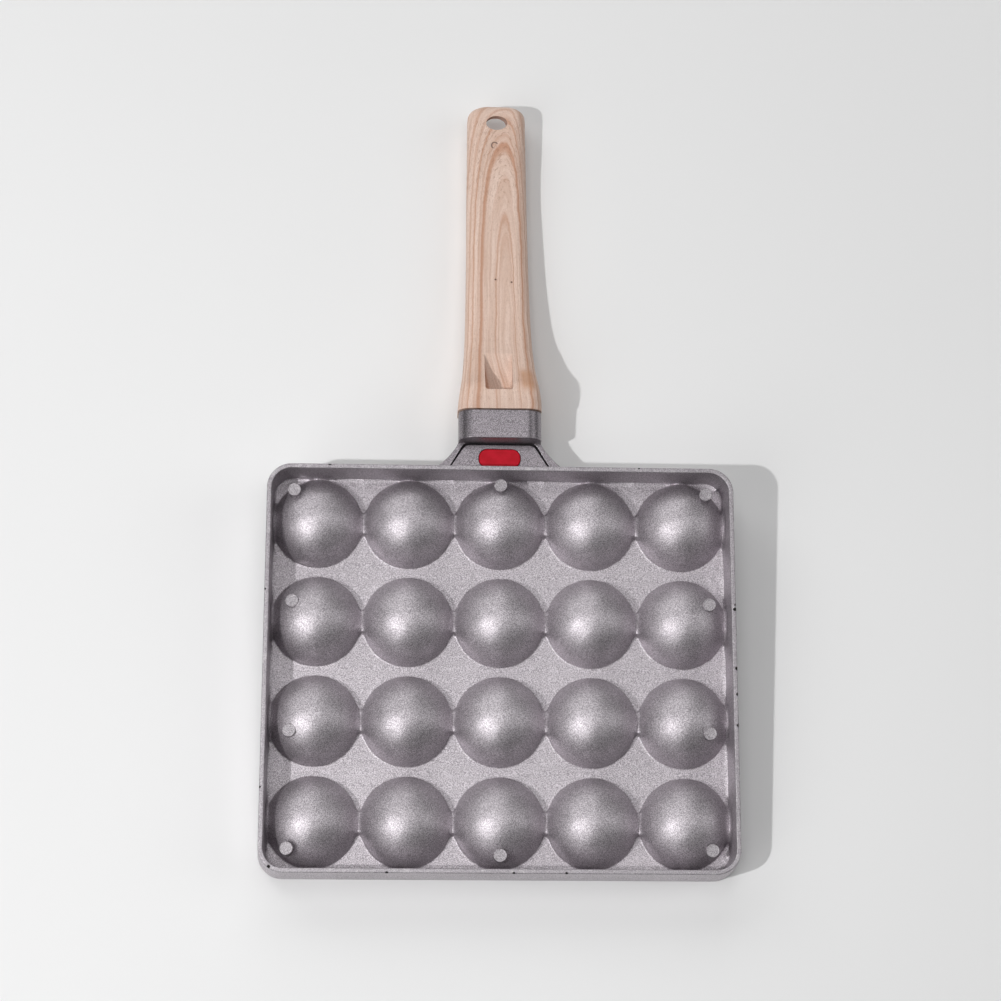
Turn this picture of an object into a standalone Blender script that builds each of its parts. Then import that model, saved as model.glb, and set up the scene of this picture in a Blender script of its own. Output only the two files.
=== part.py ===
"""Twenty-cup takoyaki pan with a wooden handle, lying upside down.

Metres, +Z up, +Y along the handle. Pieces are modelled on the pan's own plane, whose zero is
the back of the plate, and an empty then lays the whole pan on the surface it rests on.
"""

import math

import bmesh
import bpy
from mathutils import Matrix, Vector

# Fits
FIT_GAP = 0.0003
CUT_OVERRUN = 0.002
MERGE_DISTANCE = 0.00001

# Cups
CUP_COLUMNS = 5
CUP_ROWS = 4
COLUMN_PITCH = 0.0470
ROW_PITCH = 0.0513
CUP_OUTER_RADIUS = 0.0229
CUP_WALL = 0.0029
CUP_CENTRE_DEPTH = 0.0020
BALL_SEGMENTS = 16
BALL_RINGS = 10

# Plate and skirt
PLATE_THICKNESS = 0.0030
RIM_WIDTH = 0.2391
RIM_LENGTH = 0.2074
RIM_CORNER_RADIUS = 0.0125
RIM_WALL = 0.0024
SKIRT_HEIGHT = 0.0224
OUTER_DRAFT = 0.0013
INNER_DRAFT = 0.0006
CORNER_SEGMENTS = 6

# Low webs that join the cups of a row to each other and to the side walls
WEB_HEIGHT = 0.0028
WEB_WIDTH = 0.0106

# Ejector posts
POST_RADIUS = 0.0032
POST_HEIGHT = 0.0185
CORNER_POST_SIDE_INSET = 0.0138
CORNER_POST_END_INSET = 0.0128
SIDE_POST_SPACING = 0.0660
MIDDLE_POST_END_INSET = 0.0093
POST_SEGMENTS = 12

# Lug
LUG_REACH = 0.0161
LUG_ROOT_WIDTH = 0.0570
LUG_END_WIDTH = 0.0356
LUG_TOP = 0.0040
LUG_SETBACK = 0.0004
LUG_CORNER_RADIUS = 0.0022

# Flame guard
GUARD_LENGTH = 0.0155
GUARD_WIDTH = 0.0432
GUARD_HEIGHT = 0.0244
GUARD_TOP = 0.0153
GUARD_EDGE_RADIUS = 0.0080
GUARD_WALL = 0.0022
GUARD_BULKHEAD = 0.0040
GUARD_TO_LUG = 0.0008
GUARD_WEB = 0.0030
GUARD_FOOT_WIDTH = 0.0710
ARM_GAP = 0.0005
FLARE_STEPS = 8

# Red plug
PLUG_LENGTH = 0.0216
PLUG_WIDTH = 0.0098
PLUG_CORNER_RADIUS = 0.0043
PLUG_END_INSET = 0.0024
PLUG_SINK = 0.0028
PLUG_PROUD = 0.0005
PLUG_EDGE_ROUND = 0.0004

# Neck screws
SCREW_SPACING = 0.0120
SCREW_RADIUS = 0.0020
SCREW_HEAD_RADIUS = 0.0037
SCREW_HEAD_HEIGHT = 0.0019
SCREW_SLOT_WIDTH = 0.0010
SCREW_SLOT_DEPTH = 0.0008
TURNED_SEGMENTS = 24

# Handle
HANDLE_LENGTH = 0.1834
HANDLE_WIDTH = 0.0438
HANDLE_HEIGHT = 0.0245
HANDLE_SINK = 0.0002
HANDLE_EDGE_RADIUS = 0.0070
HANDLE_END_LENGTH = 0.0090
HANDLE_END_POWER = 2.6
END_RING_SHARES = (0.0, 0.2, 0.4, 0.6, 0.78, 0.9, 0.98)
EDGE_SEGMENTS = 5
# Each row: way along the handle, half width, top and underside. The first is a share of the
# length, the second of the half width, and the others are shares of the height at the guard,
# counted from its middle.
HANDLE_STATION_SHARES = (
    (0.000, 1.000, 0.519, -0.518),
    (0.018, 0.995, 0.563, -0.549),
    (0.044, 0.970, 0.602, -0.593),
    (0.066, 0.943, 0.588, -0.628),
    (0.096, 0.908, 0.426, -0.674),
    (0.131, 0.874, 0.260, -0.726),
    (0.169, 0.847, 0.119, -0.779),
    (0.207, 0.826, -0.029, -0.829),
    (0.245, 0.812, -0.131, -0.881),
    (0.289, 0.799, -0.223, -0.942),
    (0.343, 0.788, -0.306, -1.015),
    (0.436, 0.772, -0.422, -1.136),
    (0.534, 0.760, -0.519, -1.251),
    (0.615, 0.753, -0.598, -1.334),
    (0.697, 0.747, -0.665, -1.405),
    (0.779, 0.739, -0.683, -1.456),
    (0.860, 0.731, -0.672, -1.455),
    (0.935, 0.726, -0.679, -1.388),
)

# Handle tenon, hanging hole and screw pocket
TENON_LENGTH = 0.0110
TENON_CORNER_RADIUS = 0.0056
HANG_HOLE_WIDTH = 0.0116
HANG_HOLE_LENGTH = 0.0078
HANG_HOLE_END_INSET = 0.0120
HANG_HOLE_LEAN_DEGREES = 18.0
HANG_HOLE_SEGMENTS = 24
POCKET_END = 0.0110
POCKET_WIDTH = 0.0146
POCKET_LENGTH = 0.0300
POCKET_CORNER_RADIUS = 0.0016
POCKET_FLOOR = 0.0000
POCKET_SLOPE_DEGREES = 5.0

# Handle bolt and washers
BOLT_RADIUS = 0.0025
BOLT_HEAD_RADIUS = 0.0042
BOLT_HEAD_HEIGHT = 0.0030
BOLT_SOCKET_RADIUS = 0.0022
BOLT_SOCKET_DEPTH = 0.0016
BOLT_TIP_INSET = 0.0008
WASHER_RADIUS = 0.0048
WASHER_THICKNESS = 0.0010
SPRING_RADIUS = 0.0043
SPRING_THICKNESS = 0.0012
SPRING_SLIT = 0.0008

# Levels on the pan's plane that several pieces share
RIM_TOP = SKIRT_HEIGHT
COOKING_FACE = -PLATE_THICKNESS
LUG_UNDERSIDE = COOKING_FACE + LUG_SETBACK
LUG_END = RIM_LENGTH / 2 + LUG_REACH
GUARD_FRONT = LUG_END + GUARD_TO_LUG
GUARD_BACK = GUARD_FRONT + GUARD_LENGTH
GUARD_MIDDLE = GUARD_TOP - GUARD_HEIGHT / 2
GUARD_WEB_TOP = LUG_UNDERSIDE - FIT_GAP
HANDLE_START = GUARD_BACK + FIT_GAP
HANDLE_MIDDLE = GUARD_MIDDLE + HANDLE_SINK
SOCKET_FLOOR = GUARD_FRONT + GUARD_BULKHEAD
PLUG_SEAT = LUG_TOP - PLUG_SINK
PLUG_PLACE = LUG_END - PLUG_END_INSET - PLUG_WIDTH / 2
POCKET_WALL = HANDLE_START + POCKET_END
BOLT_LEVEL = HANDLE_MIDDLE + POCKET_FLOOR + BOLT_HEAD_RADIUS + FIT_GAP


def clear_scene():
    for item in list(bpy.data.objects):
        bpy.data.objects.remove(item, do_unlink=True)


def new_collection(name):
    collection = bpy.data.collections.new(name)
    bpy.context.scene.collection.children.link(collection)
    return collection


def material(name, colour, roughness, metallic):
    paint = bpy.data.materials.new(name)
    paint.use_nodes = True
    shader = paint.node_tree.nodes["Principled BSDF"]
    shader.inputs["Base Color"].default_value = (*colour, 1.0)
    shader.inputs["Roughness"].default_value = roughness
    shader.inputs["Metallic"].default_value = metallic
    return paint


def add_object(name, bm, collection):
    bmesh.ops.recalc_face_normals(bm, faces=bm.faces)
    mesh = bpy.data.meshes.new(name)
    bm.to_mesh(mesh)
    bm.free()
    item = bpy.data.objects.new(name, mesh)
    collection.objects.link(item)
    return item


def cutter(name, bm):
    """Closed shape that only shapes another piece."""
    item = add_object(name, bm, CUTTERS)
    item.hide_render = True
    item.display_type = "WIRE"
    return item


def combine(item, other, operation):
    modifier = item.modifiers.new(other.name, "BOOLEAN")
    modifier.operation = operation
    modifier.object = other


def finish(item, paint, smooth_angle=30.0):
    item.data.materials.append(paint)
    item.data.shade_smooth()
    item.data.set_sharp_from_angle(angle=math.radians(smooth_angle))
    item.parent = POSE


def rounded_block(bm, width, length, low, high, radius, spread=0.0, place=Matrix.Identity(4)):
    """Block with rounded upright corners; spread widens its lower end on every side."""
    corners = bmesh.ops.create_cube(bm, size=1.0)["verts"]
    bmesh.ops.scale(bm, vec=(width, length, high - low), verts=corners)
    upright = {edge for vert in corners for edge in vert.link_edges
               if abs(edge.verts[0].co.z - edge.verts[1].co.z) > (high - low) / 2}
    faces_before = set(bm.faces) - {face for vert in corners for face in vert.link_faces}
    bmesh.ops.bevel(bm, geom=list(upright), offset=radius, offset_type="OFFSET",
                    segments=CORNER_SEGMENTS, profile=0.5, affect="EDGES")
    block = {vert for face in set(bm.faces) - faces_before for vert in face.verts}
    for vert in block:
        if vert.co.z < 0:
            vert.co.x *= 1 + 2 * spread / width
            vert.co.y *= 1 + 2 * spread / length
    lift = Matrix.Translation((0, 0, (low + high) / 2))
    bmesh.ops.transform(bm, matrix=place @ lift, verts=list(block))


def cylinder(bm, radius, low, high, segments, place=Matrix.Identity(4)):
    lift = Matrix.Translation((0, 0, (low + high) / 2))
    bmesh.ops.create_cone(bm, cap_ends=True, segments=segments, radius1=radius, radius2=radius,
                          depth=high - low, matrix=place @ lift)


def outline_solid(name, points, low, high):
    """Flat outline with thickness, from a filled 2D curve."""
    curve = bpy.data.curves.new(name, "CURVE")
    curve.dimensions = "2D"
    curve.fill_mode = "BOTH"
    curve.extrude = (high - low) / 2
    spline = curve.splines.new("POLY")
    spline.points.add(len(points) - 1)
    for point, (x, y) in zip(spline.points, points):
        point.co = (x, y, 0, 1)
    spline.use_cyclic_u = True
    source = bpy.data.objects.new(name, curve)
    source.location.z = (low + high) / 2
    CUTTERS.objects.link(source)
    bpy.context.view_layer.update()
    evaluated = source.evaluated_get(bpy.context.evaluated_depsgraph_get())
    mesh = bpy.data.meshes.new_from_object(evaluated)
    bm = bmesh.new()
    bm.from_mesh(mesh)
    bmesh.ops.remove_doubles(bm, verts=bm.verts, dist=MERGE_DISTANCE)
    bm.transform(source.matrix_world)
    bpy.data.objects.remove(source, do_unlink=True)
    bpy.data.meshes.remove(mesh)
    return bm


def turned(name, profile, collection):
    """Profile from the axis at the top round to the axis at the bottom, turned about Z."""
    mesh = bpy.data.meshes.new(name)
    points = [(radius, 0, height) for radius, height in profile]
    mesh.from_pydata(points, [(k, k + 1) for k in range(len(points) - 1)], [])
    item = bpy.data.objects.new(name, mesh)
    collection.objects.link(item)
    screw = item.modifiers.new("turn", "SCREW")
    screw.axis = "Z"
    screw.steps = TURNED_SEGMENTS
    screw.render_steps = TURNED_SEGMENTS
    screw.use_merge_vertices = True
    screw.merge_threshold = MERGE_DISTANCE
    return item


def cup_places():
    for column in range(CUP_COLUMNS):
        for row in range(CUP_ROWS):
            yield Vector(((column - (CUP_COLUMNS - 1) / 2) * COLUMN_PITCH,
                          (row - (CUP_ROWS - 1) / 2) * ROW_PITCH,
                          -CUP_CENTRE_DEPTH))


def balls(radius):
    """A ball at every cup, turned so that flats face the neighbours."""
    bm = bmesh.new()
    half_step = Matrix.Rotation(math.pi / BALL_SEGMENTS, 4, "Z")
    for place in cup_places():
        bmesh.ops.create_uvsphere(bm, u_segments=BALL_SEGMENTS, v_segments=BALL_RINGS,
                                  radius=radius, matrix=Matrix.Translation(place) @ half_step)
    return bm


def make_cup_outsides():
    """The domes on the plate's back, cut off inside the plate."""
    bm = balls(CUP_OUTER_RADIUS)
    everything = bm.verts[:] + bm.edges[:] + bm.faces[:]
    bmesh.ops.bisect_plane(bm, geom=everything, plane_co=(0, 0, COOKING_FACE / 2),
                           plane_no=(0, 0, 1), clear_inner=True)
    bmesh.ops.holes_fill(bm, edges=[edge for edge in bm.edges if edge.is_boundary])
    return cutter("cup_outsides", bm)


def make_cup_insides():
    return cutter("cup_insides", balls(CUP_OUTER_RADIUS - CUP_WALL))


def make_webs():
    """Low bars along the rows, which join the cups to each other and to the side walls."""
    bm = bmesh.new()
    inner_width = RIM_WIDTH - 2 * RIM_WALL
    for row in range(CUP_ROWS):
        y = (row - (CUP_ROWS - 1) / 2) * ROW_PITCH
        rounded_block(bm, inner_width, WEB_WIDTH, COOKING_FACE / 2, WEB_HEIGHT,
                      WEB_WIDTH / 8, place=Matrix.Translation((0, y, 0)))
    return cutter("webs", bm)


def post_places():
    side = RIM_WIDTH / 2 - CORNER_POST_SIDE_INSET
    end = RIM_LENGTH / 2 - CORNER_POST_END_INSET
    middle = RIM_LENGTH / 2 - MIDDLE_POST_END_INSET
    for x in (-side, side):
        for y in (-end, -SIDE_POST_SPACING / 2, SIDE_POST_SPACING / 2, end):
            yield x, y
    yield 0, -middle
    yield 0, middle


def make_posts():
    bm = bmesh.new()
    for x, y in post_places():
        cylinder(bm, POST_RADIUS, COOKING_FACE / 2, POST_HEIGHT, POST_SEGMENTS,
                 Matrix.Translation((x, y, 0)))
    return cutter("posts", bm)


def lug_outline(margin=0.0, behind=0.0):
    """Half-rounded trapezoid from inside the skirt to the lug's end, grown by a margin."""
    root_y = RIM_LENGTH / 2 - RIM_WALL / 2 - margin
    end_y = LUG_END + margin + behind
    slope = (LUG_ROOT_WIDTH - LUG_END_WIDTH) / 2 / LUG_REACH
    root_x = LUG_ROOT_WIDTH / 2 + (RIM_LENGTH / 2 - root_y) * slope + margin
    end_x = LUG_END_WIDTH / 2 + margin
    radius = LUG_CORNER_RADIUS + margin
    right = [(root_x, root_y), (end_x + radius * slope, end_y - radius),
             (end_x, end_y - radius / 3), (end_x - radius / 3, end_y - radius / 12),
             (end_x - radius, end_y)]
    return right + [(-x, y) for x, y in reversed(right)]


def make_plug_shape(name, margin, low, high):
    bm = bmesh.new()
    rounded_block(bm, PLUG_LENGTH + 2 * margin, PLUG_WIDTH + 2 * margin, low, high,
                  PLUG_CORNER_RADIUS + margin, place=Matrix.Translation((0, PLUG_PLACE, 0)))
    return bm


def make_screw_holes():
    """Countersunk through holes for the neck screws, in lug and guard alike."""
    bm = bmesh.new()
    for side in (-1, 1):
        place = Matrix.Translation((side * SCREW_SPACING / 2, PLUG_PLACE, 0))
        cylinder(bm, SCREW_RADIUS + FIT_GAP, GUARD_WEB_TOP - GUARD_WEB - CUT_OVERRUN,
                 PLUG_SEAT - SCREW_HEAD_HEIGHT, TURNED_SEGMENTS, place)
    return cutter("screw_holes", bm)


def make_head_seats():
    bm = bmesh.new()
    low = PLUG_SEAT - SCREW_HEAD_HEIGHT - FIT_GAP
    high = PLUG_SEAT + CUT_OVERRUN
    rise = SCREW_HEAD_RADIUS - SCREW_RADIUS
    top_radius = SCREW_HEAD_RADIUS + FIT_GAP + rise * CUT_OVERRUN / SCREW_HEAD_HEIGHT
    for side in (-1, 1):
        place = Matrix.Translation((side * SCREW_SPACING / 2, PLUG_PLACE, (low + high) / 2))
        bmesh.ops.create_cone(bm, cap_ends=True, segments=TURNED_SEGMENTS,
                              radius1=SCREW_RADIUS + FIT_GAP, radius2=top_radius,
                              depth=high - low, matrix=place)
    return cutter("head_seats", bm)


def make_pan_body(paint):
    bm = bmesh.new()
    rounded_block(bm, RIM_WIDTH, RIM_LENGTH, COOKING_FACE, RIM_TOP, RIM_CORNER_RADIUS,
                  spread=OUTER_DRAFT)
    body = add_object("pan_body", bm, PARTS)
    bm = bmesh.new()
    high = RIM_TOP + CUT_OVERRUN
    draft = INNER_DRAFT * (high / RIM_TOP)
    rounded_block(bm, RIM_WIDTH - 2 * RIM_WALL, RIM_LENGTH - 2 * RIM_WALL, 0, high,
                  RIM_CORNER_RADIUS - RIM_WALL, spread=-draft)
    combine(body, cutter("tray_space", bm), "DIFFERENCE")
    combine(body, make_cup_outsides(), "UNION")
    combine(body, make_webs(), "UNION")
    combine(body, make_posts(), "UNION")
    lug = outline_solid("lug", lug_outline(), LUG_UNDERSIDE, LUG_TOP)
    combine(body, cutter("lug", lug), "UNION")
    combine(body, make_cup_insides(), "DIFFERENCE")
    recess = make_plug_shape("plug_recess", FIT_GAP, PLUG_SEAT, LUG_TOP + CUT_OVERRUN)
    combine(body, cutter("plug_recess", recess), "DIFFERENCE")
    combine(body, SCREW_HOLES, "DIFFERENCE")
    combine(body, make_head_seats(), "DIFFERENCE")
    finish(body, paint)


def guard_outline():
    """Plan of the guard's foot: it flares from the sleeve's sides to the pan."""
    front = RIM_LENGTH / 2 + OUTER_DRAFT + ARM_GAP
    back = GUARD_FRONT + GUARD_BULKHEAD / 2
    right = []
    for step in range(FLARE_STEPS + 1):
        share = step / FLARE_STEPS
        flare = (share + share * share) / 2
        x = GUARD_WIDTH / 2 + flare * (GUARD_FOOT_WIDTH - GUARD_WIDTH) / 2
        right.append((x, GUARD_FRONT - share * (GUARD_FRONT - front)))
    right.append((GUARD_WIDTH / 2, back))
    right = right[-1:] + right[:-1]
    return [(-x, y) for x, y in right] + list(reversed(right))


def lengthwise(middle):
    """Lays a block's height along +Y, its length along Z, centred on a level."""
    return Matrix.Translation((0, 0, middle)) @ Matrix.Rotation(-math.pi / 2, 4, "X")


def make_flame_guard(paint):
    foot = outline_solid("flame_guard", guard_outline(), GUARD_WEB_TOP - GUARD_WEB, LUG_TOP)
    guard = add_object("flame_guard", foot, PARTS)
    lug_space = outline_solid("lug_space", lug_outline(ARM_GAP, GUARD_TO_LUG), GUARD_WEB_TOP,
                              LUG_TOP + CUT_OVERRUN)
    combine(guard, cutter("lug_space", lug_space), "DIFFERENCE")
    bm = bmesh.new()
    rounded_block(bm, GUARD_WIDTH, GUARD_HEIGHT, GUARD_FRONT, GUARD_BACK, GUARD_EDGE_RADIUS,
                  place=lengthwise(GUARD_MIDDLE))
    combine(guard, cutter("guard_sleeve", bm), "UNION")
    bm = bmesh.new()
    rounded_block(bm, GUARD_WIDTH - 2 * GUARD_WALL, GUARD_HEIGHT - 2 * GUARD_WALL,
                  SOCKET_FLOOR, GUARD_BACK + CUT_OVERRUN, GUARD_EDGE_RADIUS - GUARD_WALL,
                  place=lengthwise(GUARD_MIDDLE))
    combine(guard, cutter("guard_socket", bm), "DIFFERENCE")
    combine(guard, SCREW_HOLES, "DIFFERENCE")
    combine(guard, BOLT_HOLE, "DIFFERENCE")
    finish(guard, paint)


def make_screw_plug(paint):
    bm = make_plug_shape("screw_plug", 0, PLUG_SEAT + FIT_GAP, LUG_TOP + PLUG_PROUD)
    plug = add_object("screw_plug", bm, PARTS)
    edges = plug.modifiers.new("rounded edges", "BEVEL")
    edges.width = PLUG_EDGE_ROUND
    edges.segments = 2
    edges.angle_limit = math.radians(60.0)
    finish(plug, paint)


def make_neck_screw(name, side, paint):
    """Countersunk screw with a crossed slot, from the lug into the guard."""
    top = PLUG_SEAT
    neck = top - SCREW_HEAD_HEIGHT
    tip = GUARD_WEB_TOP - GUARD_WEB + FIT_GAP
    profile = [(0, top), (SCREW_HEAD_RADIUS, top), (SCREW_RADIUS, neck), (SCREW_RADIUS, tip),
               (0, tip)]
    screw = turned(name, profile, PARTS)
    place = Matrix.Translation((side * SCREW_SPACING / 2, PLUG_PLACE, 0))
    screw.matrix_basis = place
    slots = []
    for turn in (0, math.pi / 2):
        bm = bmesh.new()
        arm = bmesh.ops.create_cube(bm, size=1.0)["verts"]
        bmesh.ops.scale(bm, verts=arm,
                        vec=(SCREW_HEAD_RADIUS, SCREW_SLOT_WIDTH, 2 * SCREW_SLOT_DEPTH))
        spin = Matrix.Translation((0, 0, top)) @ Matrix.Rotation(turn, 4, "Z")
        bmesh.ops.transform(bm, matrix=place @ spin, verts=arm)
        slots.append(cutter(name + "_slot", bm))
    for slot in slots:
        combine(screw, slot, "DIFFERENCE")
    finish(screw, paint)


def section(half_width, top, underside, radius):
    """Rounded rectangle across the handle, as points round its edge."""
    round_x = min(radius, half_width)
    round_z = min(radius, (top - underside) / 2)
    corners = ((1, top, 0.0), (-1, top, 90.0), (-1, underside, 180.0), (1, underside, 270.0))
    points = []
    for side, level, start in corners:
        centre_x = side * (half_width - round_x)
        centre_z = level - round_z if level == top else level + round_z
        for step in range(EDGE_SEGMENTS + 1):
            angle = math.radians(start + 90.0 * step / EDGE_SEGMENTS)
            points.append((centre_x + round_x * math.cos(angle),
                           centre_z + round_z * math.sin(angle)))
    return points


def handle_rings():
    """Sections from the tenon's front through the shoulder to the rounded end."""
    tenon_half_width = GUARD_WIDTH / 2 - GUARD_WALL - FIT_GAP
    tenon_half_height = GUARD_HEIGHT / 2 - GUARD_WALL - FIT_GAP
    tenon = section(tenon_half_width, GUARD_MIDDLE + tenon_half_height,
                    GUARD_MIDDLE - tenon_half_height, TENON_CORNER_RADIUS)
    yield HANDLE_START - TENON_LENGTH, tenon
    yield HANDLE_START, tenon
    for along, width, top, underside in HANDLE_STATION_SHARES:
        yield HANDLE_START + along * HANDLE_LENGTH, section(
            width * HANDLE_WIDTH / 2, HANDLE_MIDDLE + top * HANDLE_HEIGHT,
            HANDLE_MIDDLE + underside * HANDLE_HEIGHT, HANDLE_EDGE_RADIUS)
    along, width, top, underside = HANDLE_STATION_SHARES[-1]
    end_start = HANDLE_START + HANDLE_LENGTH - HANDLE_END_LENGTH
    middle = (top + underside) / 2
    for share in END_RING_SHARES:
        shrink = (1 - share ** HANDLE_END_POWER) ** (1 / HANDLE_END_POWER)
        half_height = shrink * (top - underside) / 2 * HANDLE_HEIGHT
        level = HANDLE_MIDDLE + middle * HANDLE_HEIGHT
        yield end_start + share * HANDLE_END_LENGTH, section(
            shrink * width * HANDLE_WIDTH / 2, level + half_height, level - half_height,
            shrink * HANDLE_EDGE_RADIUS)


def make_handle_blank():
    """Loft through the handle's sections, closed at both ends."""
    bm = bmesh.new()
    loops = []
    for y, points in handle_rings():
        loops.append([bm.verts.new((x, y, z)) for x, z in points])
    for near, far in zip(loops, loops[1:]):
        count = len(near)
        for k in range(count):
            bm.faces.new((near[k], near[(k + 1) % count], far[(k + 1) % count], far[k]))
    bm.faces.new(loops[0])
    bm.faces.new(loops[-1])
    bmesh.ops.remove_doubles(bm, verts=bm.verts, dist=MERGE_DISTANCE)
    return bm


def make_hang_hole():
    """Oval hole through the handle's end, leaning towards the pan at its top."""
    bm = bmesh.new()
    reach = 2 * HANDLE_HEIGHT
    cylinder(bm, HANG_HOLE_WIDTH / 2, -reach, reach, HANG_HOLE_SEGMENTS)
    bmesh.ops.scale(bm, vec=(1, HANG_HOLE_LENGTH / HANG_HOLE_WIDTH, 1), verts=bm.verts)
    top = HANDLE_MIDDLE + HANDLE_STATION_SHARES[-1][2] * HANDLE_HEIGHT
    place = Vector((0, HANDLE_START + HANDLE_LENGTH - HANG_HOLE_END_INSET, top))
    lean = Matrix.Rotation(math.radians(HANG_HOLE_LEAN_DEGREES), 4, "X")
    bmesh.ops.transform(bm, matrix=Matrix.Translation(place) @ lean, verts=bm.verts)
    return cutter("hang_hole", bm)


def make_screw_pocket():
    """Wedge-shaped pocket: square at the guard's end, running out along the handle."""
    bm = bmesh.new()
    rounded_block(bm, POCKET_WIDTH, POCKET_LENGTH, 0, HANDLE_HEIGHT, POCKET_CORNER_RADIUS)
    bmesh.ops.translate(bm, vec=(0, POCKET_LENGTH / 2, 0), verts=bm.verts)
    slope = Matrix.Rotation(math.radians(POCKET_SLOPE_DEGREES), 4, "X")
    place = Matrix.Translation((0, POCKET_WALL, HANDLE_MIDDLE + POCKET_FLOOR))
    bmesh.ops.transform(bm, matrix=place @ slope, verts=bm.verts)
    return cutter("screw_pocket", bm)


def washer_seat():
    """Where the flat washer's face towards the pan lies."""
    stack = WASHER_THICKNESS + SPRING_THICKNESS + BOLT_HEAD_HEIGHT + 4 * FIT_GAP
    return POCKET_WALL - stack


def make_head_bore():
    bm = bmesh.new()
    cylinder(bm, WASHER_RADIUS + FIT_GAP, washer_seat() - FIT_GAP, POCKET_WALL + CUT_OVERRUN,
             TURNED_SEGMENTS, lengthwise(BOLT_LEVEL))
    return cutter("head_bore", bm)


def make_handle(paint):
    handle = add_object("handle", make_handle_blank(), PARTS)
    combine(handle, make_screw_pocket(), "DIFFERENCE")
    combine(handle, make_head_bore(), "DIFFERENCE")
    combine(handle, BOLT_HOLE, "DIFFERENCE")
    combine(handle, make_hang_hole(), "DIFFERENCE")
    finish(handle, paint)


def make_bolt_hole():
    bm = bmesh.new()
    cylinder(bm, BOLT_RADIUS + FIT_GAP, GUARD_FRONT - CUT_OVERRUN, POCKET_WALL, TURNED_SEGMENTS,
             lengthwise(BOLT_LEVEL))
    return cutter("bolt_hole", bm)


def make_handle_bolt(paint):
    head_seat = washer_seat() + WASHER_THICKNESS + SPRING_THICKNESS + 2 * FIT_GAP
    head_top = head_seat + BOLT_HEAD_HEIGHT
    profile = [(0, head_top), (BOLT_HEAD_RADIUS, head_top), (BOLT_HEAD_RADIUS, head_seat),
               (BOLT_RADIUS, head_seat), (BOLT_RADIUS, GUARD_FRONT + BOLT_TIP_INSET),
               (0, GUARD_FRONT + BOLT_TIP_INSET)]
    bolt = turned("handle_bolt", profile, PARTS)
    bolt.matrix_basis = lengthwise(BOLT_LEVEL)
    bm = bmesh.new()
    cylinder(bm, BOLT_SOCKET_RADIUS, head_top - BOLT_SOCKET_DEPTH, head_top + CUT_OVERRUN, 6,
             lengthwise(BOLT_LEVEL))
    combine(bolt, cutter("bolt_socket", bm), "DIFFERENCE")
    finish(bolt, paint)


def make_flat_washer(paint):
    low = washer_seat()
    high = low + WASHER_THICKNESS
    inner = BOLT_RADIUS + FIT_GAP
    bm = bmesh.new()
    cylinder(bm, WASHER_RADIUS, low, high, TURNED_SEGMENTS, lengthwise(BOLT_LEVEL))
    washer = add_object("flat_washer", bm, PARTS)
    bm = bmesh.new()
    cylinder(bm, inner, low - CUT_OVERRUN, high + CUT_OVERRUN, TURNED_SEGMENTS,
             lengthwise(BOLT_LEVEL))
    combine(washer, cutter("washer_bore", bm), "DIFFERENCE")
    finish(washer, paint)


def make_spring_washer(paint):
    low = washer_seat() + WASHER_THICKNESS + FIT_GAP
    high = low + SPRING_THICKNESS
    bm = bmesh.new()
    cylinder(bm, SPRING_RADIUS, low, high, TURNED_SEGMENTS, lengthwise(BOLT_LEVEL))
    washer = add_object("spring_washer", bm, PARTS)
    bm = bmesh.new()
    cylinder(bm, BOLT_RADIUS + FIT_GAP, low - CUT_OVERRUN, high + CUT_OVERRUN, TURNED_SEGMENTS,
             lengthwise(BOLT_LEVEL))
    combine(washer, cutter("spring_bore", bm), "DIFFERENCE")
    bm = bmesh.new()
    rounded_block(bm, SPRING_SLIT, SPRING_RADIUS, low - CUT_OVERRUN, high + CUT_OVERRUN,
                  SPRING_SLIT / 8,
                  place=lengthwise(BOLT_LEVEL) @ Matrix.Translation((0, SPRING_RADIUS * 0.75, 0)))
    combine(washer, cutter("spring_slit", bm), "DIFFERENCE")
    finish(washer, paint)


def resting_tilt(front):
    """Angle at which the handle's underside meets the surface that the front edge is on."""
    angles = []
    for y, points in handle_rings():
        drop = COOKING_FACE - min(z for x, z in points)
        angles.append(math.atan2(drop, y - front))
    return max(angles)


def set_down(pose):
    """Turns the pan to its rest and centres its outline over the origin."""
    front = -(RIM_LENGTH / 2 + OUTER_DRAFT)
    tilt = resting_tilt(front)
    turn = Matrix.Rotation(tilt, 4, "X")
    foot = turn @ Vector((0, front, COOKING_FACE))
    rim = turn @ Vector((0, -RIM_LENGTH / 2, RIM_TOP))
    handle_points = [turn @ Vector((x, y, z)) for y, points in handle_rings() for x, z in points]
    nearest = min(foot.y, rim.y)
    farthest = max(point.y for point in handle_points)
    pose.rotation_euler.x = tilt
    pose.location = (0, -(nearest + farthest) / 2, -foot.z)


clear_scene()
PARTS = new_collection("takoyaki_pan")
CUTTERS = new_collection("cutters")
POSE = bpy.data.objects.new("resting_pose", None)
PARTS.objects.link(POSE)
set_down(POSE)

COATING = material("grey_coating", (0.30, 0.28, 0.30), 0.42, 0.75)
GUARD_COATING = material("guard_coating", (0.20, 0.19, 0.20), 0.40, 0.80)
RED_SILICONE = material("red_silicone", (0.60, 0.02, 0.05), 0.45, 0.0)
WOOD = material("pale_wood", (0.62, 0.42, 0.30), 0.55, 0.0)
STEEL = material("zinc_steel", (0.60, 0.60, 0.58), 0.30, 1.0)

SCREW_HOLES = make_screw_holes()
BOLT_HOLE = make_bolt_hole()

make_pan_body(COATING)
make_flame_guard(GUARD_COATING)
make_screw_plug(RED_SILICONE)
make_neck_screw("neck_screw_left", -1, STEEL)
make_neck_screw("neck_screw_right", 1, STEEL)
make_handle(WOOD)
make_handle_bolt(STEEL)
make_flat_washer(STEEL)
make_spring_washer(STEEL)
for item in CUTTERS.objects:
    item.parent = POSE
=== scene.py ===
import math

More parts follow.
